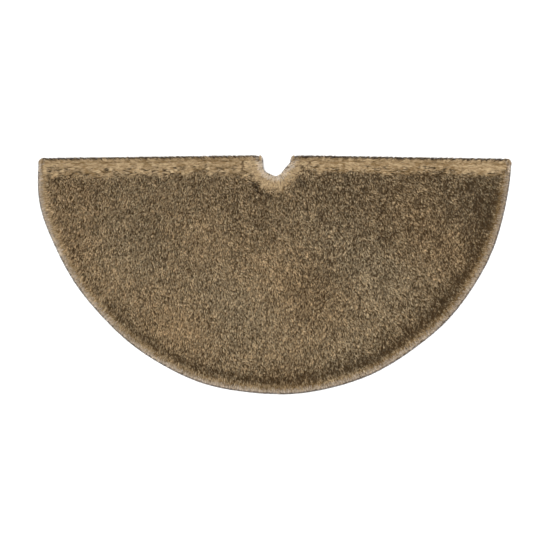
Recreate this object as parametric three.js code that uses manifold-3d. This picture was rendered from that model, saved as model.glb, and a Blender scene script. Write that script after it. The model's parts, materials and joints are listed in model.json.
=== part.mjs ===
// A round faux-fur tree skirt, folded in half with the fur outside and laid flat.
//
// The skirt is a disc of short-pile fur cloth with a lining behind it, a trunk hole in the
// middle and one slit from that hole to the hem. It is folded along the diameter that is
// square to the slit, so it lies as a half disc: the whole half on top, and under it the two
// flaps that the slit parts. Each flap swings down and out about the fold until the skirt
// lies open. Three hook-and-loop tabs close the slit; here they are undone and lie between
// the two layers.
//
// Millimetres, +Z up. +X runs along the fold, +Y points away from the hem, and the skirt
// rests on z = 0. The origin is the bottom centre of the whole shape.
import * as THREE from "three";
import { mergeVertices } from "three/addons/utils/BufferGeometryUtils.js";
import Module from "manifold-3d";

const wasm = await Module();
wasm.setup();

// Driving dimensions
const HEM_RADIUS = 609.6; // middle of the disc to the tips of the pile at the hem
const HOLE_RADIUS = 38; // trunk hole, to the tips of the pile
const FUR_THICKNESS = 15; // knitted backing and pile together
const BACKING_THICKNESS = 1;
const LINING_THICKNESS = 0.8;
const LINING_INSET = 14; // fur turned under along the hem, the hole and the slit
const SLIT_WIDTH = 2;
const TAB_WIDTH = 25; // along the slit
const TAB_THICKNESS = 1.2;
const TAB_SETBACK = 2; // edge of the left lining at the slit to the tab's sewn end
const LOOP_SETBACK = 3; // edge of the right lining at the slit to the loop tape
const TAPE_WIDTH = 20;
const HOOK_LENGTH = 40;
const LOOP_LENGTH = 46;
const TAPE_THICKNESS = 1;
const TAPE_MARGIN = 3; // end of the tab to the hook tape on it
const CLOSURE_COUNT = 3;
const CLOSURE_END_MARGIN = 48; // hole or hem to the middle of the nearest tab

// Clearances
const LAYER_CLEARANCE = 0.3; // hook tape to the lining over it, and between the bent layers
const FOLD_CLEARANCE = 0.3; // edge of each layer to the line about which it folds

// Fineness of the facets
const DISC_STEPS = 144; // round the whole disc
const RIM_STEPS = 6; // round the edge of the pile
const BEND_STEPS = 16; // round the whole fold
const CORNER_STEPS = 4; // round a tab's corner

// What follows from them
const layerThickness = FUR_THICKNESS + LINING_THICKNESS;
const layerGap = TAB_THICKNESS + TAPE_THICKNESS + LAYER_CLEARANCE;
const foldHeight = layerThickness + layerGap / 2;
const foldReach = foldHeight; // from the fold's axis to the tips of the pile on the bend
const backingBend = layerGap / 2 + LINING_THICKNESS + BACKING_THICKNESS / 2;
const takeUp = (Math.PI / 2) * backingBend; // cloth that each half gives to the bend
const foldY = (HEM_RADIUS - takeUp - foldReach) / 2;
const slitEdge = SLIT_WIDTH / 2;
const farOff = 2 * HEM_RADIUS; // larger than the skirt, for the boxes that cut it

const materials = {
  fur: () => new THREE.MeshStandardMaterial({ color: 0x76644c, roughness: 0.95 }),
  lining: () => new THREE.MeshStandardMaterial({ color: 0x8a7a63, roughness: 0.7 }),
  tab: () => new THREE.MeshStandardMaterial({ color: 0x6a5a45, roughness: 0.85 }),
  tape: () => new THREE.MeshStandardMaterial({ color: 0x4a3f32, roughness: 0.9 }),
};

function toSolid(geometry) {
  const bare = geometry.clone();
  bare.deleteAttribute("normal");
  bare.deleteAttribute("uv");
  const merged = mergeVertices(bare, 1e-4);
  return new wasm.Manifold(new wasm.Mesh({
    numProp: 3,
    vertProperties: new Float32Array(merged.attributes.position.array),
    triVerts: new Uint32Array(merged.index.array),
  }));
}

function toGeometry(solid) {
  const mesh = solid.getMesh();
  const geometry = new THREE.BufferGeometry();
  geometry.setAttribute("position", new THREE.BufferAttribute(mesh.vertProperties, 3));
  geometry.setIndex(new THREE.BufferAttribute(mesh.triVerts, 1));
  geometry.computeVertexNormals();
  return geometry;
}

// A box between two corners, as a solid to cut with.
function block(low, high) {
  const size = high.map((value, i) => value - low[i]);
  const geometry = new THREE.BoxGeometry(...size);
  geometry.translate(...low.map((value, i) => value + size[i] / 2));
  return toSolid(geometry);
}

// Section of the fur cloth between two radii: flat faces, with the pile round at both ends.
function furSection(inner, outer, low, high) {
  const rim = (high - low) / 2;
  const middle = (low + high) / 2;
  const points = [];
  for (let i = 0; i <= RIM_STEPS; i++) {
    const angle = -Math.PI / 2 + (Math.PI * i) / RIM_STEPS;
    points.push([outer - rim + rim * Math.cos(angle), middle + rim * Math.sin(angle)]);
  }
  for (let i = 0; i <= RIM_STEPS; i++) {
    const angle = Math.PI / 2 + (Math.PI * i) / RIM_STEPS;
    points.push([inner + rim + rim * Math.cos(angle), middle + rim * Math.sin(angle)]);
  }
  return points;
}

// Section of a plain cloth layer between two radii.
function flatSection(inner, outer, low, high) {
  return [[inner, low], [outer, low], [outer, high], [inner, high]];
}

// A section in (radius, height) turned round the disc's middle. The bend takes up the cloth next
// to the diameter, so the middle of each flat half lies that far past the fold's axis.
function turnedUp(section, steps) {
  const closed = [...section, section[0]];
  const profile = closed.map(([radius, height]) => new THREE.Vector2(radius, height));
  const geometry = new THREE.LatheGeometry(profile, steps);
  geometry.rotateX(Math.PI / 2);
  geometry.translate(0, takeUp, 0);
  return toSolid(geometry);
}

// A section in (x, distance from the fold axis) turned round the fold axis, which runs along +X.
function turnedRoundFold(section, steps) {
  const closed = [...section, section[0]];
  const profile = closed.map(([x, radius]) => new THREE.Vector2(radius, x));
  const geometry = new THREE.LatheGeometry(profile.reverse(), steps);
  geometry.rotateZ(-Math.PI / 2);
  return toSolid(geometry).translate([0, 0, foldHeight]);
}

// The part of the skirt that lies to one side of the slit, or all of it for side 0.
// Side -1 is the left flap, toward -X, and +1 the right one.
function halfDisc(side, edgeInset) {
  const edge = slitEdge + edgeInset;
  const low = side > 0 ? edge : -farOff;
  const high = side < 0 ? -edge : farOff;
  return block([low, -farOff, -farOff], [high, -FOLD_CLEARANCE, farOff]);
}

function furPanel(side, bottom) {
  const section = furSection(HOLE_RADIUS, HEM_RADIUS, bottom, bottom + FUR_THICKNESS);
  return turnedUp(section, DISC_STEPS).intersect(halfDisc(side, 0));
}

function liningPanel(side, bottom) {
  const inner = HOLE_RADIUS + LINING_INSET;
  const outer = HEM_RADIUS - LINING_INSET;
  const section = flatSection(inner, outer, bottom, bottom + LINING_THICKNESS);
  return turnedUp(section, DISC_STEPS).intersect(halfDisc(side, LINING_INSET));
}

// The half of a turned bend that lies past the edges of the flat layers.
function bendHalf(solid, side) {
  const half = solid.intersect(block([-farOff, 0, -farOff], [farOff, farOff, farOff]));
  return side < 0 ? half.mirror([1, 0, 0]) : half;
}

function furBend(side) {
  const inside = foldHeight - FUR_THICKNESS + LAYER_CLEARANCE;
  const section = furSection(HOLE_RADIUS, HEM_RADIUS, inside, foldReach);
  return bendHalf(turnedRoundFold(section, BEND_STEPS), side);
}

function liningBend(side) {
  const outside = foldHeight - FUR_THICKNESS;
  const inner = HOLE_RADIUS + LINING_INSET;
  const outer = HEM_RADIUS - LINING_INSET;
  const section = flatSection(inner, outer, outside - LINING_THICKNESS, outside);
  return bendHalf(turnedRoundFold(section, BEND_STEPS), side);
}

// A flat strip with rounded corners, its middle at the origin and its underside at z = 0.
function strip(length, width, thickness, corner) {
  const shape = new THREE.Shape();
  const x = length / 2 - corner;
  const y = width / 2 - corner;
  shape.absarc(x, y, corner, 0, Math.PI / 2);
  shape.absarc(-x, y, corner, Math.PI / 2, Math.PI);
  shape.absarc(-x, -y, corner, Math.PI, 1.5 * Math.PI);
  shape.absarc(x, -y, corner, 1.5 * Math.PI, 2 * Math.PI);
  const options = { depth: thickness, bevelEnabled: false, curveSegments: CORNER_STEPS };
  return new THREE.ExtrudeGeometry(shape, options);
}

const skirt = new THREE.Group();
skirt.name = "tree_skirt";
skirt.position.set(0, foldY, 0);

function addPiece(name, geometry, material, position = [0, 0, 0]) {
  const mesh = new THREE.Mesh(geometry, material);
  mesh.name = name;
  mesh.position.set(...position);
  skirt.add(mesh);
}

function addSolid(name, solid, material) {
  addPiece(name, toGeometry(solid), material);
}

// Top half: fur up, lining down.
const topLiningBottom = foldHeight + layerGap / 2;
addSolid("top_fur_panel", furPanel(0, topLiningBottom + LINING_THICKNESS), materials.fur());
addSolid("top_lining", liningPanel(0, topLiningBottom), materials.lining());

// The two flaps under it, fur down and lining up, and the bends that join them to the top half.
for (const [name, side] of [["left", -1], ["right", 1]]) {
  addSolid(`${name}_flap_fur_panel`, furPanel(side, 0), materials.fur());
  addSolid(`${name}_flap_lining`, liningPanel(side, FUR_THICKNESS), materials.lining());
  addSolid(`${name}_fur_fold`, furBend(side), materials.fur());
  addSolid(`${name}_lining_fold`, liningBend(side), materials.lining());
}

// Closures along the slit. Each tab is sewn to the left flap and folded back on it, hooks up.
// Turned over its sewn end, it crosses the slit and lies on its loop tape on the right flap.
const liningEdge = slitEdge + LINING_INSET;
const tabEnd = -liningEdge - TAB_SETBACK;
const loopMiddle = liningEdge + LOOP_SETBACK + LOOP_LENGTH / 2;
const hookMiddle = 2 * tabEnd - loopMiddle;
const tabLength = tabEnd - hookMiddle + HOOK_LENGTH / 2 + TAPE_MARGIN;
const tabMiddle = tabEnd - tabLength / 2;
const tabCorner = TAB_WIDTH / 4;
const tapeCorner = TAPE_WIDTH / 8;
const firstClosure = HOLE_RADIUS + CLOSURE_END_MARGIN;
const lastClosure = HEM_RADIUS - CLOSURE_END_MARGIN;
const closurePitch = (lastClosure - firstClosure) / (CLOSURE_COUNT - 1);

for (let i = 0; i < CLOSURE_COUNT; i++) {
  const y = takeUp - firstClosure - i * closurePitch;
  const tab = strip(tabLength, TAB_WIDTH, TAB_THICKNESS, tabCorner);
  const hook = strip(HOOK_LENGTH, TAPE_WIDTH, TAPE_THICKNESS, tapeCorner);
  const loop = strip(LOOP_LENGTH, TAPE_WIDTH, TAPE_THICKNESS, tapeCorner);
  const tabTop = layerThickness + TAB_THICKNESS;
  addPiece(`closure_tab_${i + 1}`, tab, materials.tab(), [tabMiddle, y, layerThickness]);
  addPiece(`hook_tape_${i + 1}`, hook, materials.tape(), [hookMiddle, y, tabTop]);
  addPiece(`loop_tape_${i + 1}`, loop, materials.tape(), [loopMiddle, y, layerThickness]);
}

export default skirt;
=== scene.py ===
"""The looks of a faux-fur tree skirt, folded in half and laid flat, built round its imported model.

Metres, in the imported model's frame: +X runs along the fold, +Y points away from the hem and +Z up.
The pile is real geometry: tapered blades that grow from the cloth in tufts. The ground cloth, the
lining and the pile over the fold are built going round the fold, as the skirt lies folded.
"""

import json
import math

import bpy
import numpy as np
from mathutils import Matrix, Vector


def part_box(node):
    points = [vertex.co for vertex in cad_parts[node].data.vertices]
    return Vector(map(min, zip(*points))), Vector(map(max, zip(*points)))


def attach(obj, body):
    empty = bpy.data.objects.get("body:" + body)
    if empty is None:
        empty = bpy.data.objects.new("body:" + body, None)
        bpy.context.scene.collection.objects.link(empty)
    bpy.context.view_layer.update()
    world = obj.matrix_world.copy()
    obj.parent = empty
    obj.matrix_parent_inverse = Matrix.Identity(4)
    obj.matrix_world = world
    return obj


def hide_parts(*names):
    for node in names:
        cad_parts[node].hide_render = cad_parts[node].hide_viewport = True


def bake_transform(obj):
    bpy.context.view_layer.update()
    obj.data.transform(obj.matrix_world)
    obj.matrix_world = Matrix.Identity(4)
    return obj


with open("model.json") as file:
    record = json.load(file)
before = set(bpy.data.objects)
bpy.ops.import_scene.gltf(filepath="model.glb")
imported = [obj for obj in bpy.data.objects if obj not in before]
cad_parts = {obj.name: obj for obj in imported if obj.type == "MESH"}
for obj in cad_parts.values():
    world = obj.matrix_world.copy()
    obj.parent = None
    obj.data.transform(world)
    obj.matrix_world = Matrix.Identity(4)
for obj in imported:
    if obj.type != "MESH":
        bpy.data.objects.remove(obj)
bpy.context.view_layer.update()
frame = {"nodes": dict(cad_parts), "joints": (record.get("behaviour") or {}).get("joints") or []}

# ---------------------------------------------------------------- the frame's own sizes
panel_low, panel_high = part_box("top_fur_panel")
fold_low, fold_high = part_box("right_fur_fold")
lining_low, lining_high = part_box("top_lining")
joints = {joint["name"]: joint for joint in frame["joints"]}
FOLD_Y, FOLD_Z = joints["left_unfold"]["pos_m"][1:]
REACH = fold_high.z - FOLD_Z  # fold axis to the tips of the pile
HEM_RADIUS = panel_high.x
HOLE_RADIUS = fold_low.x
DISC_Y = panel_low.y + HEM_RADIUS  # middle of the hem's circle
LINING_TOP = lining_high.z - FOLD_Z
LINING_LEVEL = (lining_low.z + lining_high.z) / 2 - FOLD_Z
LINING_INSET = HEM_RADIUS - lining_high.x
SLIT_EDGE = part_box("right_flap_fur_panel")[0].x

# ---------------------------------------------------------------- sizes of the pile and cloth
BACKING = 0.001  # thickness of the knitted ground
ROOTS = LINING_TOP + BACKING  # fold axis to where the pile grows from
PILE_LENGTH = 0.0160
BLADE_WIDTH = 0.0013
BLADE_SPACING = 0.00135
FAN_SPACING = 0.0014
HEM_OVERHANG = 0.012  # cloth's edge to the tips of the pile beyond it
HOLE_OVERHANG = 0.007
SLIT_OVERHANG = 0.006
CLOTH_SLIT = SLIT_EDGE + SLIT_OVERHANG  # middle of the slit to the cloth's edge
LINING_SLIT = SLIT_EDGE + LINING_INSET
EDGE_CURL = 0.00045  # radius in which the cloth turns under at an edge
TURNED_UNDER = 0.010
TUFT = (0.0015, 0.0045)  # a tuft's size across and along, in the open
LOCK = (0.012, 0.0034)  # a combed lock's size along and across the fold
PARTED_LOCK = (0.0095, 0.0056)  # the same where the locks lie in rows with gaps between
LOCK_DRAW = 0.003  # the most that a blade's tip is drawn along its lock
HEM_BAND = (0.003, 0.027)  # from the cloth's edge in: where the pile stops lying outward
HOLE_BAND = (0.026, 0.048)
COMBED_LEFT = 0.0310  # from the fold in: the middle of the combed band's edge
COMBED_RIGHT = 0.0245
COMBED_BLUR = 0.006  # half the width over which the combed band gives way
ROWS_BEGIN = (0.009, 0.017)  # from the fold in: where the locks come to lie in rows
DARK_BAND = 0.037  # from the hem in: the middle of the band of painted shade beside the rim
# A blade's lean off upright, in degrees: in the open, and what is added beside the fold, by the hem
# and by the hole
LEAN_ROOT = (9, 31, 13, 14)
LEAN_TIP = (38, 34, 18, 26)
# The soft folds that ring the trunk hole: radius and angle at each end, and how dark their painted
# shade is
CREASES = (((0.074, -2.80), (0.104, -1.60), 0.8), ((0.090, -1.15), (0.090, -0.45), 0.5))
CREASE_WIDTH = 0.0048
CREASE_FADE = 0.25  # angle over which each end of a crease fades out
FAN_TURN = math.radians(115)  # how far the pile fans round the hem and the hole, from straight up
BEND_FAN_TURN = math.radians(110)  # and round the ends of the bend
BLADES_PER_PIECE = 60000
SEED = 7  # every random draw's seed is this one and fixed steps from it


# ---------------------------------------------------------------- small tools
def smooth(value, low, high):
    """0 below low and 1 above high, with a smooth rise between them."""
    share = np.clip((value - low) / (high - low), 0.0, 1.0)
    return share * share * (3.0 - 2.0 * share)


def hump(value, middle, width):
    """1 at middle, falling smoothly to nothing some way past width from it."""
    return np.exp(-(((value - middle) / width) ** 2))


def ripple(x, y, size, seed, count=7):
    """Smooth noise between about -1 and 1, from a few random waves about that size long."""
    rng = np.random.default_rng(seed)
    total = np.zeros_like(x)
    for _ in range(count):
        heading = rng.uniform(0, 2 * math.pi)
        length = size * rng.uniform(0.7, 1.6)
        phase = rng.uniform(0, 2 * math.pi)
        along = x * math.cos(heading) + y * math.sin(heading)
        total += np.sin(2 * math.pi * along / length + phase)
    return total / math.sqrt(count)


def unit(vectors):
    return vectors / np.maximum(np.linalg.norm(vectors, axis=1, keepdims=True), 1e-9)


def rows(x, y, z):
    return np.stack(np.broadcast_arrays(x, y, z), axis=1)


def link(obj):
    bpy.context.scene.collection.objects.link(obj)
    return obj


# ---------------------------------------------------------------- outline of the cloth
def fold_line(x):
    """Y of the cloth's fold: it draws in toward both ends, more on the right."""
    drawn_in = np.where(x > 0, 0.0103, 0.0085)
    return FOLD_Y + 0.0006 - drawn_in * np.abs(x) / HEM_RADIUS


def hem_edge(angle):
    """Radius of the cloth's edge at the hem. It isn't quite round, and bulges below the left corner."""
    wave = 0.0009 * np.sin(9 * angle + 0.6) + 0.0007 * np.sin(17 * angle + 2.0)
    from_corner = np.abs(np.abs(angle) - math.pi) * HEM_RADIUS
    left = angle < -math.pi / 2
    bulge = 0.012 * hump(from_corner, 0.115, 0.115) - 0.0022 * hump(from_corner, 0.55, 0.16)
    return HEM_RADIUS - HEM_OVERHANG + wave + np.where(left, bulge, 0.0)


def hole_edge(angle):
    """Radius of the cloth's edge at the trunk hole, whose two sides are pushed in a little."""
    around = -np.abs(angle)
    right_side = -0.006 * hump(around, -0.72, 0.42)
    left_side = -0.007 * hump(around, -3.0, 0.40)
    bottom = 0.0035 * hump(around, -1.5, 0.30) + 0.001 * hump(around, -2.2, 0.30)
    return HOLE_RADIUS + HOLE_OVERHANG + 0.003 + right_side + left_side + bottom


def polar(x, y):
    return np.hypot(x, y - DISC_Y), np.arctan2(y - DISC_Y, x)


def corner_radius(edge, side):
    """Radius of an edge where it meets the fold."""
    return float(edge(np.array([0.0 if side > 0 else -math.pi]))[0])


# ---------------------------------------------------------------- how the pile lies
def clumps(x, y, size, seed, stagger=1.0):
    """For each root: the way to the middle of its clump, a random number that the clump shares, and
    how open the pile is there, from 0 inside the clump to 1 where it meets the next one. stagger is
    how far the clumps stray from straight rows along X, as a share of a row's width."""
    rng = np.random.default_rng(seed)
    column, row = x / size[0], y / size[1]
    first_column, first_row = math.floor(column.min()) - 1, math.floor(row.min()) - 1
    shape = (int(column.max() - first_column) + 3, int(row.max() - first_row) + 3)
    middle_x = rng.random(shape)
    middle_y = 0.5 + stagger * (rng.random(shape) - 0.5)
    shared = rng.random(shape)
    best = np.full(len(x), np.inf)
    second = np.full(len(x), np.inf)
    to_x, to_y, draw = np.zeros(len(x)), np.zeros(len(x)), np.zeros(len(x))
    for step_x in (-1, 0, 1):
        for step_y in (-1, 0, 1):
            i = np.floor(column).astype(int) + step_x
            j = np.floor(row).astype(int) + step_y
            at = (i - first_column, j - first_row)
            away_x = i + middle_x[at] - column
            away_y = j + middle_y[at] - row
            distance = np.hypot(away_x, away_y)
            nearer = distance < best
            second = np.where(nearer, best, np.minimum(second, distance))
            best = np.where(nearer, distance, best)
            to_x = np.where(nearer, away_x * size[0], to_x)
            to_y = np.where(nearer, away_y * size[1], to_y)
            draw = np.where(nearer, shared[at], draw)
    return to_x, to_y, draw, 1 - smooth(second - best, 0.0, 0.34)


class Pile:
    """Blades of pile: where each grows, how it lies and its colour. Every field is one array."""

    def __init__(self, root, normal, along, chart_x, chart_y):
        self.root, self.normal = root, normal
        self.along, self.across = along, np.cross(normal, along)  # tangents, for the chart's x and y
        self.chart = np.stack([chart_x, chart_y], axis=1)  # place on the cloth as it would lie flat
        count = len(root)
        self.heading = np.zeros((count, 2))  # lean in the chart's x and y
        self.gather = np.zeros((count, 2))  # how far the tip is drawn to its tuft's middle
        self.lean_root = np.zeros(count)
        self.lean_tip = np.zeros(count)
        self.length = np.zeros(count)
        self.shade = np.zeros(count)  # 0 for the darkest of its colour, 1 for the lightest; random from tuft to tuft, with painted light and shade added
        self.cool = np.zeros(count)  # chance of the cool dye in the open fur
        self.gold = np.zeros(count)  # chance of the golden dye
        # chance of the pale colour: a painted highlight where the pile turns over an edge
        self.pale = np.zeros(count)
        # chance of the dark colour: painted shade in the gaps between locks and tufts, in creases and
        # at the outline
        self.dark = np.zeros(count)

    def pick(self, chosen):
        part = object.__new__(Pile)
        for name, value in vars(self).items():
            setattr(part, name, value[chosen])
        return part


def join_piles(*piles):
    whole = object.__new__(Pile)
    for name in vars(piles[0]):
        fields = [getattr(pile, name) for pile in piles]
        setattr(whole, name, np.concatenate(fields))
    return whole


def turned(heading, swing):
    """Headings turned by an angle each."""
    cos, sin = np.cos(swing), np.sin(swing)
    across, down = heading.T
    return np.stack([across * cos - down * sin, across * sin + down * cos], axis=1)


def crease(radius, angle, wobble):
    """How much painted shade the creases put on each point, from 0 to 1."""
    depth = np.zeros_like(radius)
    for (first_radius, first), (last_radius, last), darkness in CREASES:
        middle = first_radius + (last_radius - first_radius) * (angle - first) / (last - first)
        begun = smooth(angle, first, first + CREASE_FADE)
        ended = smooth(angle, last - CREASE_FADE, last)
        across = hump(radius + wobble, middle, CREASE_WIDTH)
        depth = np.maximum(depth, darkness * (begun * (1 - ended)) * across)
    return depth


class Zones:
    """Where roots lie on the cloth: how far from its edges, and how much each edge sways the pile,
    from 0 to 1. A wobble keeps the zones' borders from being straight."""

    def __init__(self, x, y, seed):
        self.radius, self.angle = polar(x, y)
        self.wobble = 0.0035 * ripple(x, 3 * y, 0.05, seed + 1) + 0.003 * ripple(x, y, 0.17, seed + 2)
        self.from_fold = fold_line(x) - y
        self.from_hem = hem_edge(self.angle) - self.radius
        self.from_hole = self.radius - hole_edge(self.angle)
        self.by_hem = 1 - smooth(self.from_hem, *HEM_BAND)
        ragged = 2 * self.wobble + 0.005 * ripple(x, y, 0.020, seed + 12)
        self.by_hole = 1 - smooth(self.from_hole + ragged, *HOLE_BAND)
        border = np.where(x > 0, COMBED_RIGHT, COMBED_LEFT)
        from_fold = self.from_fold + self.wobble
        combed = 1 - smooth(from_fold, border - COMBED_BLUR, border + COMBED_BLUR)
        self.beside_fold = combed * (1 - self.by_hole)
        self.in_rows = self.beside_fold * smooth(from_fold, *ROWS_BEGIN)


def lie(x, y, zones, nap, seed):
    """The way the pile leans: along the nap in the open, along the fold beside it, and out over each
    edge."""
    drift = 0.30 * ripple(x, y, 0.30, seed + 3) + 0.40 * ripple(x, y, 0.05, seed + 4)
    heading = np.stack([np.sin(drift), nap * np.cos(drift)], axis=1)
    outward = np.stack([np.cos(zones.angle), np.sin(zones.angle)], axis=1)
    slant = (0.25 * ripple(x, y, 0.03, seed + 5) - 0.20) * (1 - 0.7 * zones.in_rows)
    sideways = np.stack([np.sign(x), slant], axis=1)
    heading += zones.beside_fold[:, None] * (3.0 * sideways - heading)
    heading += zones.by_hem[:, None] * (2.0 * outward - heading)
    heading += zones.by_hole[:, None] * (-1.2 * outward - 0.5 * heading)
    return heading


def gathered(to_x, to_y, share, most_along):
    """How far each tip is drawn toward its clump's middle, which is to_x and to_y away."""
    return share * np.stack([np.clip(to_x, -most_along, most_along), to_y], axis=1)


def clumps_and_locks(x, y, zones, rng, seed):
    """What clumps() gives, for tufts in the open and combed locks beside the fold."""
    tufts = clumps(x, y, TUFT, seed + 6)
    in_row_locks = zones.in_rows > rng.random(len(x))
    fine = clumps(x, y, LOCK, seed + 7)
    coarse = clumps(x, zones.wobble - zones.from_fold, PARTED_LOCK, seed + 8, stagger=0.35)
    locks = [np.where(in_row_locks, wide, narrow) for wide, narrow in zip(coarse, fine)]
    in_locks = zones.beside_fold > rng.random(len(x))
    return [np.where(in_locks, lock, tuft) for lock, tuft in zip(locks, tufts)]


def partings(x, y, zones, seed):
    """How much painted shade lies in the gaps between the rows of locks, from 0 to 1. They are broken
    here and there.
    """
    row = (zones.wobble - zones.from_fold) / PARTED_LOCK[1]
    from_gap = 1 - np.abs(2 * np.mod(row, 1.0) - 1)
    broken = smooth(ripple(x, 0.5 * y, 0.018, seed + 13), -0.35, 0.25)
    return 0.95 * (1 - smooth(from_gap, 0.25, 0.70)) * broken * zones.in_rows


def leaning(degrees, zones):
    """A blade's lean where it grows, from LEAN_ROOT or LEAN_TIP."""
    open_pile, fold, hem, hole = degrees
    return open_pile + fold * zones.beside_fold + hem * zones.by_hem + hole * zones.by_hole


def comb(pile, seed, nap=-1):
    """Lays the pile and colours it. nap is the way along Y that the open pile lies."""
    rng = np.random.default_rng(seed)
    x, y = pile.chart.T
    count = len(x)
    zones = Zones(x, y, seed)
    by_hole, beside_fold = zones.by_hole, zones.beside_fold
    to_x, to_y, draw, parted = clumps_and_locks(x, y, zones, rng, seed)
    parting = partings(x, y, zones, seed)
    other_draw = np.modf(draw * 977.0)[0]

    swing = (draw - 0.5) * (1 - 0.85 * beside_fold) + rng.normal(0, 0.12, count)
    pile.heading = unit(turned(lie(x, y, zones, nap, seed), swing))
    pile.gather = gathered(to_x, to_y, 0.62, LOCK_DRAW) * (1 - parting[:, None])
    pile.lean_root = np.radians(leaning(LEAN_ROOT, zones))
    unruly = 24 * (other_draw - 0.5) * (1 - beside_fold)
    pile.lean_tip = np.radians(leaning(LEAN_TIP, zones) + unruly)
    uneven = 0.10 * (other_draw - 0.5) - 0.16 * parted + rng.normal(0, 0.04, count)
    pile.length = PILE_LENGTH * (1 + uneven)

    in_clump = 1.02 - 0.27 * beside_fold
    pile.shade = 0.585 + in_clump * (draw - 0.5) + rng.normal(0, 0.16, count)
    # Painted light and shade over the pile, and painted shade where the tufts part
    pile.shade += painted_light_and_shade(x, y, zones, seed) - 0.45 * parted * (1 - beside_fold)
    pile.cool = 0.45 + 0.30 * ripple(x, y, 0.30, seed + 11)
    by_rim = smooth(zones.by_hem, 0.25, 0.85)
    pile.gold = np.clip(beside_fold + 0.95 * by_hole + 0.75 * by_rim, 0, 1)
    # Painted highlight: a pale rim where the pile turns over the hem and the hole
    hem_rim = 1 - smooth(zones.from_hem, 0.001, 0.011)
    hole_rim = 1 - smooth(zones.from_hole, 0.005, 0.019)
    pile.pale = 0.8 * np.maximum(hem_rim, hole_rim)
    # Painted shade: in the gaps between tufts round the hole, between the rows of locks and in the
    # creases
    gap_shade_by_hole = 0.4 * smooth(parted, 0.5, 0.9) * by_hole
    creased = crease(zones.radius, zones.angle, zones.wobble)
    pile.dark = np.maximum.reduce([parting, gap_shade_by_hole, creased])
    return pile


def painted_light_and_shade(x, y, zones, seed):
    """Painted light and shade: how much lighter than the rest the pile is at each place. It is patchy
    in painted light and shade, has a band of painted shade along the hem that fades at both ends, is
    dimmer to the right in painted shade, and has painted light round the hole."""
    inside = zones.radius - HEM_RADIUS
    band = hump(inside, -DARK_BAND, 0.013) + 0.3 * hump(inside, -0.060, 0.025)
    fade_left = 0.15 + 0.85 * smooth(zones.angle, -3.0, -1.9)
    fade_right = 1 - 0.45 * smooth(zones.angle, -0.75, -0.15)
    dark_band = band * smooth(zones.from_fold, 0.03, 0.12) * fade_left * fade_right
    patch = 0.055 * ripple(x, y, 0.22, seed + 9) + 0.035 * ripple(x, y, 0.05, seed + 10)
    to_right = x / HEM_RADIUS
    near_fold = 1 - smooth(zones.from_fold, 0.05, 0.30)
    dimmer = (0.12 + 0.04 * to_right) * near_fold + 0.18 * to_right
    dimmer *= 1 - np.maximum(zones.beside_fold, zones.by_hole)
    combed = (0.10 + 0.05 * np.sign(x)) * zones.beside_fold
    return patch + 0.45 * zones.by_hole - combed - 0.40 * dark_band - dimmer


# ---------------------------------------------------------------- where the pile grows
def scattered(rng, steps, steps_round):
    """A random point in each cell of a grid, as shares from 0 to 1 along an edge and round it."""
    along, round_it = (cell.ravel() for cell in np.meshgrid(np.arange(steps), np.arange(steps_round)))
    along = (along + rng.uniform(0, 1, len(along))) / steps
    round_it = (round_it + rng.uniform(0, 1, len(round_it))) / steps_round
    return along, round_it


def on_bend(x, turn):
    """Roots round the bend. turn is the angle about the fold's axis, from level up to the top half."""
    return rows(x, fold_line(x) + ROOTS * np.cos(turn), FOLD_Z + ROOTS * np.sin(turn))


def open_face(seed, nap):
    """Roots all over the flat of one half, fur up."""
    rng = np.random.default_rng(seed)
    columns = np.arange(-HEM_RADIUS - HEM_OVERHANG, HEM_RADIUS, BLADE_SPACING)
    lines = np.arange(panel_low.y, FOLD_Y, BLADE_SPACING)
    x, y = (grid.ravel() for grid in np.meshgrid(columns, lines))
    x = x + rng.uniform(-0.5, 0.5, len(x)) * BLADE_SPACING
    y = y + rng.uniform(-0.5, 0.5, len(y)) * BLADE_SPACING
    radius, angle = polar(x, y)
    inside = (radius < hem_edge(angle)) & (radius > hole_edge(angle)) & (y < fold_line(x))
    x, y = x[inside], y[inside]
    normal, along = rows(0 * x, 0, 1.0), rows(0 * x + 1.0, 0, 0)
    return comb(Pile(rows(x, y, FOLD_Z + ROOTS), normal, along, x, y), seed + 50, nap)


def lay_fan(pile, lift, rise, room, seed, taper=1, dark_below=0.70):
    """Spreads the pile over a turned edge. lift is each root's angle from the edge's outward way, and
    room how far the pile reaches that way, which falls off faster above it with more taper. It has a
    painted highlight over the edge, and painted shade at its outline, where rise, its angle above
    level, is small."""
    rng = np.random.default_rng(seed)
    count = len(lift)
    level = np.clip(np.cos(lift), 0, 1)
    pile.heading = unit(np.stack([rng.normal(0, 0.6, count), np.ones(count)], axis=1))
    pile.lean_root = rng.normal(0, 0.10, count)
    pile.lean_tip = rng.normal(0.18, 0.22, count)
    pile.gather = pile.gather * 0.35
    reach = 0.8 * PILE_LENGTH * (1 - level) + 1.14 * room * level**taper
    pile.length = reach + rng.normal(0, 0.0006, count)
    pile.pale = 0.9 * smooth(level, 0.15, 0.55)
    pile.dark = 1 - smooth(rise, dark_below - 0.45, dark_below)
    return pile


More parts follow.
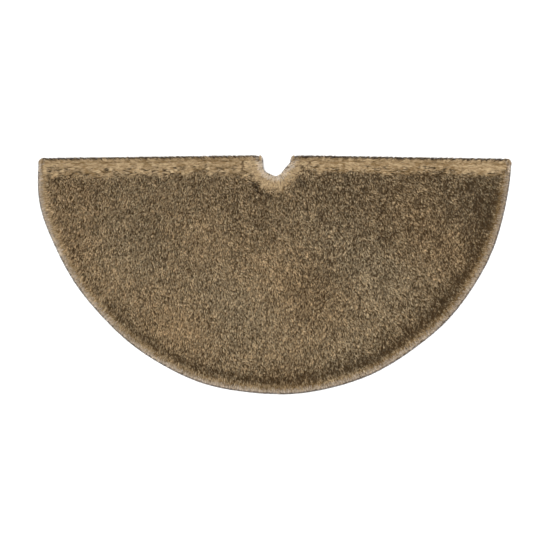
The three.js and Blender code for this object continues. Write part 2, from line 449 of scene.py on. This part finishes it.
def edge_fan(edge, side, seed, steps_round=14):
    """Roots on the turned edge of one half, fanning from straight up to just below level.
    side is 1 where the pile points away from the disc's middle, and -1 where it points to it."""
    rng = np.random.default_rng(seed)
    length = math.pi * float(edge(np.array([-math.pi / 2]))[0])
    steps = int(length / FAN_SPACING)
    along_edge, round_edge = scattered(rng, steps, steps_round)
    angle = -math.pi * along_edge
    lift = math.pi / 2 - FAN_TURN * round_edge
    reach = edge(angle) + side * EDGE_CURL * np.cos(lift)
    out_x, out_y = np.cos(angle), np.sin(angle)
    x, y = reach * out_x, DISC_Y + reach * out_y
    z = FOLD_Z + ROOTS - EDGE_CURL + EDGE_CURL * np.sin(lift)
    normal = rows(side * out_x * np.cos(lift), side * out_y * np.cos(lift), np.sin(lift))
    pile = comb(Pile(rows(x, y, z), normal, rows(-out_y, out_x, 0), x, y), seed + 50)
    if side > 0:
        lay_fan(pile, lift, lift, HEM_OVERHANG, seed + 60)
    else:
        # At the hole the painted shade of the outline reaches higher up the pile
        lay_fan(pile, lift, lift, HOLE_OVERHANG, seed + 60, taper=2, dark_below=1.10)
    return pile.pick(y < fold_line(x))


def slit_fan(side, seed, steps_round=10):
    """Roots on a flap's edge at the slit, fur up. They fan over until the pile meets in the middle."""
    rng = np.random.default_rng(seed)
    first, last = panel_low.y + HEM_OVERHANG, DISC_Y - HOLE_RADIUS - HOLE_OVERHANG
    steps = int((last - first) / FAN_SPACING)
    along_edge, round_edge = scattered(rng, steps, steps_round)
    y = first + (last - first) * along_edge
    lift = math.pi / 2 * (1 - round_edge)
    x = np.full(len(y), side * CLOTH_SLIT)
    normal = rows(-side * np.cos(lift), 0, np.sin(lift))
    pile = comb(Pile(rows(x, y, FOLD_Z + ROOTS), normal, rows(0 * x, side, 0), x, y), seed + 50)
    lay_fan(pile, lift, lift, SLIT_OVERHANG, seed + 60)
    # Less painted highlight and painted shade at the slit than over the other edges
    pile.pale *= 0.3
    pile.dark *= 0.6
    return pile


def fold_fan(side, seed, steps_round=30):
    """Roots on the bend, from the top half round to the flap. The pile lies along the fold, and
    stands up more half way round and at both ends."""
    rng = np.random.default_rng(seed)
    first, last = corner_radius(hole_edge, side), corner_radius(hem_edge, side)
    steps = int((last - first) / FAN_SPACING)
    along_edge, round_edge = scattered(rng, steps, steps_round)
    out = first + (last - first) * along_edge
    turn = math.pi / 2 - math.pi * round_edge
    x = side * out
    normal, along = rows(0 * x, np.cos(turn), np.sin(turn)), rows(0 * x + 1.0, 0, 0)
    pile = comb(Pile(on_bend(x, turn), normal, along, x, fold_line(x)), seed + 50)
    to_x, to_y, draw, parted = clumps(x, REACH * turn, LOCK, seed + 60)
    pile.gather = gathered(to_x, to_y, 0.5, 2 * LOCK_DRAW)
    toward_hem = smooth(out, last - 0.012, last)
    toward_hole = 1 - smooth(out, first, first + 0.014)
    swing = 0.6 * (draw - 0.5) + rng.normal(0, 0.15, len(x))
    pile.heading = np.stack([side * np.cos(swing), np.sin(swing)], axis=1)
    stand = np.cos(turn) ** 2
    spare = 1 - np.maximum(toward_hem, toward_hole)
    pile.lean_root = np.radians((38 - 26 * stand) * spare)
    pile.lean_tip = np.radians(14 + (56 - 24 * stand) * spare + rng.normal(0, 5, len(x)))
    shorter = 0.06 * parted + 0.20 * toward_hem + 0.26 * toward_hole
    pile.length = PILE_LENGTH * (1 - shorter) + rng.normal(0, 0.0006, len(x))
    # Painted shade where the locks part
    pile.shade = 0.48 + 0.7 * (draw - 0.5) - 0.15 * parted + rng.normal(0, 0.08, len(x))
    # Painted shade: a dark stripe from the middle of the bend a little way up, and in the gaps between
    # locks
    outline = smooth(turn, -0.15, 0.15) * (1 - smooth(turn, 0.50, 1.00 + 0.05 * side))
    pile.dark = np.maximum(outline, 0.2 * smooth(parted, 0.4, 0.9))
    # Painted highlight: pale toward both ends of the bend
    pile.pale = 0.7 * toward_hem + 0.7 * toward_hole
    return pile


def bend_end_fan(edge, side, outward, seed, count=1500):
    """Roots on the cloth's edge where it goes round the bend, fanning out past the bend's end.
    outward is 1 at the hem and -1 at the hole."""
    rng = np.random.default_rng(seed)
    turn = rng.uniform(-math.pi / 2, math.pi / 2, count)
    lift = math.pi / 2 - rng.uniform(0, BEND_FAN_TURN, count)
    x = np.full(count, side * (corner_radius(edge, side) + outward * EDGE_CURL))
    out_y, out_z = np.cos(turn), np.sin(turn)
    normal = rows(side * outward * np.cos(lift), out_y * np.sin(lift), out_z * np.sin(lift))
    pile = Pile(on_bend(x, turn), normal, rows(0 * x, -out_z, out_y), x, fold_line(x))
    comb(pile, seed + 50)
    rise = np.arcsin(np.abs(normal[:, 2]))
    if outward > 0:
        lay_fan(pile, lift, rise, HEM_OVERHANG, seed + 60)
        # Less painted highlight at the hem's end of the bend
        pile.pale *= 0.35
    else:
        lay_fan(pile, lift, rise, HOLE_OVERHANG, seed + 60)
    # Less painted shade at the outline here
    pile.dark *= 0.6
    return pile


def under(pile):
    """The same pile turned over, for a flap that lies fur down."""
    for vectors in (pile.root, pile.normal, pile.along, pile.across):
        vectors[:, 2] *= -1
    pile.root[:, 2] += 2 * FOLD_Z
    return pile


# ---------------------------------------------------------------- meshes of the pile
DYES_AND_PAINTED_LIGHT = ("cool", "warm", "gold", "pale", "dark")  # side by side across the colour chart; the pale one is a painted highlight, the dark one painted shade
BEND_AT = 0.52  # where along a blade it is bent
CHART_WIDTH = 0.002  # a blade's own width on the colour chart
FLOOR_GIVE = 0.003  # depth over which the pile under a flap is pressed back by the floor


def pressed(points):
    """The pile's points, with those that would reach under the skirt's own underside pressed up."""
    depth = FOLD_Z - points[:, 2]
    spare = depth - (REACH - FLOOR_GIVE)
    eased = REACH - FLOOR_GIVE * np.exp(-np.maximum(spare, 0) / FLOOR_GIVE)
    points[:, 2] = np.where(spare > 0, FOLD_Z - eased, points[:, 2])
    return points


def blade_points(pile, seed):
    """Five points a blade: two at the root, two at the bend and the tip."""
    rng = np.random.default_rng(seed)
    count = len(pile.root)
    lean = pile.along * pile.heading[:, :1] + pile.across * pile.heading[:, 1:]
    at_root = pile.normal * np.cos(pile.lean_root)[:, None] + lean * np.sin(pile.lean_root)[:, None]
    at_tip = pile.normal * np.cos(pile.lean_tip)[:, None] + lean * np.sin(pile.lean_tip)[:, None]
    gather = pile.along * pile.gather[:, :1] + pile.across * pile.gather[:, 1:]

    def centre(u):
        bent = at_root * (u - u * u / 2) + at_tip * (u * u / 2)
        return pile.root + pile.length[:, None] * bent + gather * u**1.5

    twist = rng.uniform(-1.1, 1.1, count)[:, None]
    facing = unit(np.cross(at_root + at_tip, pile.normal) + 1e-6)
    other = unit(np.cross(facing, at_root + at_tip))
    sideways = facing * np.cos(twist) + other * np.sin(twist)
    half = 0.5 * BLADE_WIDTH * rng.uniform(0.75, 1.25, count)[:, None] * sideways
    middle = centre(BEND_AT)
    narrow = 0.8 * half
    corners = [pile.root - narrow, pile.root + narrow, middle - half, middle + half, centre(1.0)]
    return pressed(np.stack(corners, axis=1).reshape(-1, 3))


def blade_colours(pile, seed):
    """Each corner's place on the colour chart: across, its kind of colour (a dyed one, the painted
    highlight or the painted shade) and its shade within that; root to tip upward.
    """
    rng = np.random.default_rng(seed)
    count = len(pile.root)
    colour_kind = np.where(rng.random(count) < pile.cool, DYES_AND_PAINTED_LIGHT.index("cool"), DYES_AND_PAINTED_LIGHT.index("warm"))
    for name in ("gold", "pale", "dark"):
        colour_kind = np.where(rng.random(count) < getattr(pile, name), DYES_AND_PAINTED_LIGHT.index(name), colour_kind)
    across = (colour_kind + np.clip(pile.shade, 0.03, 0.97)) / len(DYES_AND_PAINTED_LIGHT)
    left, right = across - CHART_WIDTH / 2, across + CHART_WIDTH / 2
    low, bend, high = 0.01, BEND_AT, 0.99
    quad = [(left, low), (right, low), (right, bend), (left, bend)]
    tip = [(left, bend), (right, bend), (across, high)]
    corners = [np.stack([u, np.full(count, v)], axis=1) for u, v in quad + tip]
    return np.stack(corners, axis=1).reshape(-1, 2)


def blades_mesh(name, pile, seed):
    """One mesh of all the pile's blades, each a quad and a pointed triangle above it."""
    count = len(pile.root)
    blade = np.arange(count)[:, None]
    mesh = bpy.data.meshes.new(name)
    mesh.vertices.add(5 * count)
    mesh.vertices.foreach_set("co", blade_points(pile, seed).astype(np.float32).ravel())
    mesh.loops.add(7 * count)
    mesh.loops.foreach_set("vertex_index", (5 * blade + [0, 1, 3, 2, 2, 3, 4]).ravel())
    mesh.polygons.add(2 * count)
    mesh.polygons.foreach_set("loop_start", (7 * blade + [0, 4]).ravel())
    colours = blade_colours(pile, seed + 1).astype(np.float32).ravel()
    for layer in ("Chart", "OFBake"):
        mesh.uv_layers.new(name=layer).uv.foreach_set("vector", colours)
    mesh.polygons.foreach_set("use_smooth", np.ones(2 * count, bool))
    mesh.update(calc_edges=True)
    mesh.validate()
    return link(bpy.data.objects.new(name, mesh))


def pile_pieces(name, pile, material, seed):
    """The pile as several pieces side by side along X, none of them too large."""
    order = np.argsort(pile.root[:, 0], kind="stable")
    pieces = math.ceil(len(order) / BLADES_PER_PIECE)
    made = []
    for i, part in enumerate(np.array_split(order, pieces)):
        piece = blades_mesh(f"{name}_{i + 1}", pile.pick(part), seed + 10 * i)
        piece.data.materials.append(material)
        made.append(piece)
    return made


# ---------------------------------------------------------------- meshes of the ground cloth and lining
CLOTH_COLUMNS = 60  # points from the hole to the hem
CLOTH_LINES = 70  # lines of points round each half
BEND_LINES = 13  # and round the bend, with one on each half


def turn_under(edge_length, steps=4):
    """Section of an edge turned under, as pairs: how far out past the edge, and how far down."""
    if edge_length == 0:
        return [(0.0, 0.0)]
    round_it = [math.pi * i / steps for i in range(steps + 1)]
    curl = [(EDGE_CURL * math.sin(a), EDGE_CURL * (1 - math.cos(a))) for a in round_it]
    return curl + [(-edge_length / 2, 2 * EDGE_CURL), (-edge_length, 2 * EDGE_CURL)]


def cloth_stations(side, level, hole, hem, slit, band):
    """Points of one side's cloth, as a grid. It runs from the middle of the top half round the fold to
    the slit in one direction, and from the hole to the hem in the other. level is its height off the
    fold's axis, slit how far its edge lies from the slit's middle, and band the width turned under."""
    edge = turn_under(band)[1:]
    out = np.array([out for out, _ in edge])
    down = np.array([down for _, down in edge])
    flat = np.zeros(CLOTH_COLUMNS)
    share = np.concatenate([0 * out, np.linspace(0, 1, CLOTH_COLUMNS), 0 * out + 1])
    past = np.concatenate([-out[::-1], flat, out])
    height = level - np.concatenate([down[::-1], flat, down])

    def at(angle):
        """Points along an angle for each column, where the cloth is flat."""
        radius = hole(angle) * (1 - share) + hem(angle) * share + past
        return radius * np.cos(angle), DISC_Y + radius * np.sin(angle)

    straight = np.full(len(share), -math.pi / 2)
    radius = np.abs(at(straight)[1] - DISC_Y)
    corner = np.full(len(share), 0.0 if side > 0 else -math.pi)
    corner_x = at(corner)[0]
    to_fold = np.arcsin((DISC_Y - fold_line(corner_x)) / np.abs(corner_x))
    last = corner - side * to_fold
    first = straight + side * np.arcsin(slit / radius)
    grid = []
    for share_round in np.linspace(0, 1, CLOTH_LINES):
        x, y = at(straight + (last - straight) * share_round)
        grid.append(rows(x, y, FOLD_Z + height))
    end_x, end_y = at(last)
    for turn in np.linspace(math.pi / 2, -math.pi / 2, BEND_LINES)[1:-1]:
        grid.append(rows(end_x, end_y + height * math.cos(turn), FOLD_Z + height * math.sin(turn)))
    for share_round in np.linspace(0, 1, CLOTH_LINES):
        x, y = at(last + (first - last) * share_round)
        grid.append(rows(x, y, FOLD_Z - height))
    for past_slit, drop in edge:
        grid.append(rows(x - side * past_slit, y, FOLD_Z - np.minimum(height, level - drop)))
    return np.array(grid)


def cloth_sheet(name, grid, material):
    """A sheet over a grid of points, with a UV map in metres of the flat cloth and one for baking."""
    lines, columns = grid.shape[:2]
    down = np.linalg.norm(np.diff(grid, axis=0), axis=2).mean(axis=1)
    along = np.linalg.norm(np.diff(grid, axis=1), axis=2).mean(axis=0)
    v, u = (np.concatenate([[0], np.cumsum(steps)]) for steps in (down, along))
    corner = np.arange(lines * columns).reshape(lines, columns)
    round_face = [corner[:-1, :-1], corner[:-1, 1:], corner[1:, 1:], corner[1:, :-1]]
    faces = np.stack(round_face, axis=2).reshape(-1, 4)
    mesh = bpy.data.meshes.new(name)
    mesh.from_pydata(grid.reshape(-1, 3).tolist(), [], faces.tolist())
    flat = np.stack(np.meshgrid(u, v), axis=2).reshape(-1, 2)
    for layer, place in (("Cloth", flat), ("OFBake", flat / flat.max(axis=0))):
        at_corners = place[faces.ravel()].astype(np.float32).ravel()
        mesh.uv_layers.new(name=layer).uv.foreach_set("vector", at_corners)
    mesh.polygons.foreach_set("use_smooth", np.ones(len(faces), bool))
    mesh.materials.append(material)
    mesh.update()
    return link(bpy.data.objects.new(name, mesh))


# ---------------------------------------------------------------- materials
def paint(red, green, blue):
    """A colour from its 0 to 255 display numbers, as the shaders take it."""
    shares = [value / 255 for value in (red, green, blue)]
    linear = [s / 12.92 if s <= 0.04045 else ((s + 0.055) / 1.055) ** 2.4 for s in shares]
    return (*linear, 1.0)


def new_material(name, roughness, sheen=0.0, specular=0.5):
    material = bpy.data.materials.new(name)
    material.use_nodes = True
    shader = material.node_tree.nodes["Principled BSDF"]
    shader.inputs["Roughness"].default_value = roughness
    shader.inputs["Sheen Weight"].default_value = sheen
    shader.inputs["Specular IOR Level"].default_value = specular
    return material, material.node_tree, shader


def ramp(tree, factor, stops):
    node = tree.nodes.new("ShaderNodeValToRGB")
    elements = node.color_ramp.elements
    while len(elements) < len(stops):
        elements.new(0.5)
    for element, (place, colour) in zip(elements, stops):
        element.position = place
        element.color = colour
    tree.links.new(factor, node.inputs["Fac"])
    return node.outputs["Color"]


def feed(tree, socket, value):
    """Links a socket to another, or sets it to a plain value."""
    if isinstance(value, bpy.types.NodeSocket):
        tree.links.new(value, socket)
    else:
        socket.default_value = value


def mixed(tree, factor, below, above):
    node = tree.nodes.new("ShaderNodeMix")
    node.data_type = "RGBA"
    feed(tree, node.inputs["Factor"], factor)
    feed(tree, node.inputs[6], below)  # the colour A; its name is shared with other sockets
    feed(tree, node.inputs[7], above)  # the colour B
    return node.outputs[2]


def mapped(tree, value, low, high):
    node = tree.nodes.new("ShaderNodeMapRange")
    node.interpolation_type = "SMOOTHSTEP"
    node.inputs["From Min"].default_value = low
    node.inputs["From Max"].default_value = high
    tree.links.new(value, node.inputs["Value"])
    return node.outputs["Result"]


def uv_map(tree, name):
    node = tree.nodes.new("ShaderNodeUVMap")
    node.uv_map = name
    return node.outputs["UV"]


def object_place(tree):
    """Where a point lies on the object, in metres."""
    return tree.nodes.new("ShaderNodeTexCoord").outputs["Object"]


def noise(tree, place, scale, detail=3.0):
    node = tree.nodes.new("ShaderNodeTexNoise")
    node.inputs["Scale"].default_value = scale
    node.inputs["Detail"].default_value = detail
    tree.links.new(place, node.inputs["Vector"])
    return node.outputs["Fac"]


def wave(tree, place, pitch, direction, distortion=0.0):
    """Soft ridges square to one direction, a pitch apart."""
    node = tree.nodes.new("ShaderNodeTexWave")
    node.bands_direction = direction
    node.inputs["Scale"].default_value = 2 * math.pi / (20 * pitch)
    node.inputs["Distortion"].default_value = distortion
    tree.links.new(place, node.inputs["Vector"])
    return node.outputs["Fac"]


def joined(tree, way, first, second):
    node = tree.nodes.new("ShaderNodeMath")
    node.operation = way
    feed(tree, node.inputs[0], first)
    feed(tree, node.inputs[1], second)
    return node.outputs["Value"]


def bump(tree, shader, height, distance, strength=0.8):
    node = tree.nodes.new("ShaderNodeBump")
    node.inputs["Strength"].default_value = strength
    node.inputs["Distance"].default_value = distance
    tree.links.new(height, node.inputs["Height"])
    tree.links.new(node.outputs["Normal"], shader.inputs["Normal"])


# Colours of each kind at a blade's root, shaft and tip, dark end and light end. The roots are darkened
# as painted shade; pale is a painted highlight and dark is painted shade; the rest are dyes.
ROOT_DYES_IN_PAINTED_SHADE = {
    "cool": ((66, 51, 33), (92, 76, 54)),
    "warm": ((67, 48, 28), (94, 72, 46)),
    "gold": ((92, 72, 48), (122, 98, 68)),
    "pale": ((120, 104, 84), (150, 134, 112)),
    "dark": ((44, 32, 22), (66, 48, 32)),
}
SHAFT_DYES_AND_PAINTED_LIGHT = {
    "cool": ((80, 61, 35), (232, 211, 173)),
    "warm": ((82, 59, 29), (235, 205, 160)),
    "gold": ((122, 96, 58), (202, 178, 140)),
    "pale": ((168, 152, 132), (224, 210, 192)),
    "dark": ((46, 34, 22), (72, 55, 38)),
}
TIP_DYES_AND_PAINTED_LIGHT = {
    "cool": ((70, 53, 30), (225, 204, 166)),
    "warm": ((70, 49, 23), (228, 197, 151)),
    "gold": ((116, 90, 54), (196, 172, 135)),
    "pale": ((166, 150, 130), (220, 206, 188)),
    "dark": ((42, 33, 24), (66, 53, 40)),
}


def dye_and_painted_light_stops(colour_table):
    """Ramp stops for the kinds of colour side by side, each from its dark to its light: the three dyed
    ones, then the pale painted highlight and the dark painted shade.
    """
    stops = []
    for i, name in enumerate(DYES_AND_PAINTED_LIGHT):
        dark, light = colour_table[name]
        stops.append((i / len(DYES_AND_PAINTED_LIGHT) + 0.001, paint(*dark)))
        stops.append(((i + 1) / len(DYES_AND_PAINTED_LIGHT) - 0.001, paint(*light)))
    return stops


def fur_material():
    """Each blade has painted shade at its root, is pale along its shaft and dyed at its tip; the
    chart's pale and dark colours are a painted highlight and painted shade.
    """
    material, tree, shader = new_material("fur", roughness=0.6, specular=0.3)
    split = tree.nodes.new("ShaderNodeSeparateXYZ")
    tree.links.new(uv_map(tree, "Chart"), split.inputs["Vector"])
    across, up = split.outputs["X"], split.outputs["Y"]
    roots = ramp(tree, across, dye_and_painted_light_stops(ROOT_DYES_IN_PAINTED_SHADE))
    shafts = ramp(tree, across, dye_and_painted_light_stops(SHAFT_DYES_AND_PAINTED_LIGHT))
    tips = ramp(tree, across, dye_and_painted_light_stops(TIP_DYES_AND_PAINTED_LIGHT))
    lower = mixed(tree, mapped(tree, up, 0.0, 0.45), roots, shafts)
    colour = mixed(tree, mapped(tree, up, 0.5, 0.95), lower, tips)
    tree.links.new(colour, shader.inputs["Base Color"])
    return material


def knit_material():
    """The ground of the fur: a close knit in rows of small loops."""
    material, tree, shader = new_material("ground_knit", roughness=0.9, sheen=0.2, specular=0.2)
    place = uv_map(tree, "Cloth")
    wales = wave(tree, place, 0.0018, "X", 0.6)
    courses = wave(tree, place, 0.0014, "Y", 0.6)
    loops = joined(tree, "MULTIPLY", wales, courses)
    worn = noise(tree, place, 60)
    threads = ramp(tree, loops, [(0.0, paint(70, 56, 40)), (0.8, paint(128, 106, 78))])
    colour = mixed(tree, mapped(tree, worn, 0.35, 0.75), threads, paint(108, 90, 68))
    tree.links.new(colour, shader.inputs["Base Color"])
    bump(tree, shader, loops, 0.0004)
    return material


def lining_material():
    """A plain-woven polyester lining, slightly lustrous, with slubs in its threads."""
    material, tree, shader = new_material("lining_weave", roughness=0.55, sheen=0.25, specular=0.45)
    place = uv_map(tree, "Cloth")
    warp = wave(tree, place, 0.0009, "X", 0.4)
    weft = wave(tree, place, 0.0009, "Y", 0.4)
    weave = joined(tree, "MAXIMUM", warp, weft)
    slub = noise(tree, place, 240, 2.0)
    threads = ramp(tree, weave, [(0.1, paint(104, 90, 70)), (1.0, paint(152, 136, 112))])
    colour = mixed(tree, mapped(tree, slub, 0.45, 0.8), threads, paint(162, 146, 122))
    tree.links.new(colour, shader.inputs["Base Color"])
    creased = joined(tree, "MULTIPLY", noise(tree, place, 14, 4.0), 3.0)
    bump(tree, shader, joined(tree, "ADD", weave, creased), 0.0003)
    return material


def webbing_material():
    """Narrow woven tape, with ribs across it and a darker fleck."""
    material, tree, shader = new_material("tab_webbing", roughness=0.8, sheen=0.15, specular=0.3)
    place = object_place(tree)
    ribs = wave(tree, place, 0.0016, "X", 0.3)
    ends = wave(tree, place, 0.0011, "Y", 0.3)
    weave = joined(tree, "MULTIPLY", ribs, ends)
    threads = ramp(tree, weave, [(0.0, paint(78, 64, 46)), (0.9, paint(130, 112, 86))])
    colour = mixed(tree, mapped(tree, noise(tree, place, 500), 0.55, 0.8), threads, paint(92, 78, 58))
    tree.links.new(colour, shader.inputs["Base Color"])
    bump(tree, shader, weave, 0.0003)
    return material


def hook_material():
    """Hook tape: rows of stiff little hooks on a woven base."""
    material, tree, shader = new_material("hook_tape", roughness=0.5, specular=0.5)
    place = object_place(tree)
    hooks = joined(tree, "MULTIPLY", wave(tree, place, 0.0016, "X"), wave(tree, place, 0.0012, "Y"))
    colour = ramp(tree, hooks, [(0.2, paint(58, 48, 36)), (0.7, paint(116, 100, 78))])
    tree.links.new(colour, shader.inputs["Base Color"])
    bump(tree, shader, hooks, 0.0008)
    return material


def loop_material():
    """Loop tape: a brushed mat of fine loops."""
    material, tree, shader = new_material("loop_tape", roughness=0.95, sheen=0.5, specular=0.15)
    place = object_place(tree)
    mat = noise(tree, place, 1400, 6.0)
    colour = ramp(tree, mat, [(0.3, paint(60, 50, 38)), (0.7, paint(112, 96, 74))])
    tree.links.new(colour, shader.inputs["Base Color"])
    bump(tree, shader, mat, 0.0008)
    return material


# ---------------------------------------------------------------- camera, light and floor
PICTURE_WIDTH = 1.427  # what the camera takes in across, at the height of the fold
LENS = 85.0
SENSOR = 36.0
CAMERA_X = -0.001
CAMERA_Y = DISC_Y - 0.3005
KEY_PLACE = (-0.35, 0.12, 2.9)
KEY_STRENGTH = 3.9
KEY_SPREAD = 22  # angle that it seems to fill, in degrees
SKY_STRENGTH = 0.55
FLOOR_SIZE = 160.0
FLOOR_COLOUR = (0.9, 0.9, 0.9, 1)


def add_camera():
    data = bpy.data.cameras.new("camera")
    data.lens = LENS
    data.sensor_width = SENSOR
    data.clip_end = 50
    camera = link(bpy.data.objects.new("camera", data))
    camera.location = (CAMERA_X, CAMERA_Y, FOLD_Z + PICTURE_WIDTH * LENS / SENSOR)
    bpy.context.scene.camera = camera


def add_key_light():
    """Soft light that falls evenly, from nearly overhead."""
    data = bpy.data.lights.new("key", "SUN")
    data.energy = KEY_STRENGTH
    data.angle = math.radians(KEY_SPREAD)
    light = link(bpy.data.objects.new("key", data))
    light.location = KEY_PLACE
    light.rotation_euler = (-Vector(KEY_PLACE)).to_track_quat("-Z", "Y").to_euler()


def add_sky():
    """Plain white light from all round."""
    world = bpy.data.worlds.new("studio")
    world.use_nodes = True
    sky = world.node_tree.nodes["Background"]
    sky.inputs["Color"].default_value = (1, 1, 1, 1)
    sky.inputs["Strength"].default_value = SKY_STRENGTH
    bpy.context.scene.world = world


def add_floor():
    half = FLOOR_SIZE / 2
    mesh = bpy.data.meshes.new("floor")
    corners = [(-half, -half, 0), (half, -half, 0), (half, half, 0), (-half, half, 0)]
    mesh.from_pydata(corners, [], [(0, 1, 2, 3)])
    floor = link(bpy.data.objects.new("floor", mesh))
    material, _, shader = new_material("floor", roughness=0.9, specular=0.1)
    shader.inputs["Base Color"].default_value = FLOOR_COLOUR
    mesh.materials.append(material)


def lining_hole(angle):
    return HOLE_RADIUS + LINING_INSET + 0 * angle


def lining_hem(angle):
    return HEM_RADIUS - LINING_INSET + 0 * angle


def one_half(seed, nap):
    """All the pile of one half, fur up, but for the bend."""
    face = open_face(seed, nap)
    return join_piles(face, edge_fan(hem_edge, 1, seed + 1), edge_fan(hole_edge, -1, seed + 2))


def add_pile(name, side, top, material):
    """The pile of one side: its part of the top half, its flap and its bend. Gives back its pieces."""
    flap_body = f"{name}_flap"
    seed = SEED + 100 * (side + 2)
    top_part = top.pick(side * top.root[:, 0] > 0)
    top_pieces = pile_pieces(f"{name}_top_pile", top_part, material, seed)
    for piece in top_pieces:
        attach(piece, "top_half")

    flap = one_half(seed + 1, nap=1)
    flap = flap.pick(side * flap.root[:, 0] > CLOTH_SLIT)
    flap = under(join_piles(flap, slit_fan(side, seed + 5)))
    flap_pieces = pile_pieces(f"{name}_flap_pile", flap, material, seed + 10)
    for piece in flap_pieces:
        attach(piece, flap_body)
    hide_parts(f"{name}_flap_fur_panel")

    bend = join_piles(
        fold_fan(side, seed + 20),
        bend_end_fan(hem_edge, side, 1, seed + 21),
        bend_end_fan(hole_edge, side, -1, seed + 22),
    )
    bend_pieces = pile_pieces(f"{name}_fold_pile", bend, material, seed + 30)
    for piece in bend_pieces:
        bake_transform(piece)
    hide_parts(f"{name}_fur_fold")
    return top_pieces + flap_pieces + bend_pieces


def add_ground_cloth(name, side, material):
    """The knitted ground of one side's fur, turned under at its edges."""
    stations = cloth_stations(side, ROOTS, hole_edge, hem_edge, CLOTH_SLIT, TURNED_UNDER)
    ground = cloth_sheet(f"{name}_ground_cloth", stations, material)
    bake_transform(ground)
    return ground


def add_lining(name, side, material):
    """The lining of one side, which rests on the back of the ground cloth."""
    stations = cloth_stations(side, LINING_LEVEL, lining_hole, lining_hem, LINING_SLIT, 0)
    lining = cloth_sheet(f"{name}_lining", stations, material)
    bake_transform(lining)
    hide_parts(f"{name}_flap_lining", f"{name}_lining_fold")


bpy.context.scene.view_settings.view_transform = "Standard"
add_camera()
add_key_light()
add_sky()
add_floor()

fur, knit, weave = fur_material(), knit_material(), lining_material()
top = one_half(SEED, nap=-1)
for name, side in (("left", -1), ("right", 1)):
    pile = add_pile(name, side, top, fur)
    ground = add_ground_cloth(name, side, knit)
    add_lining(name, side, weave)
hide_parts("top_fur_panel")
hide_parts("top_lining")

closure_materials = {
    "closure_tab": webbing_material(),
    "hook_tape": hook_material(),
    "loop_tape": loop_material(),
}
for node in frame["nodes"]:
    for family, material in closure_materials.items():
        if node.startswith(family):
            slots = bpy.data.objects[node].data.materials
            slots.clear()
            slots.append(material)
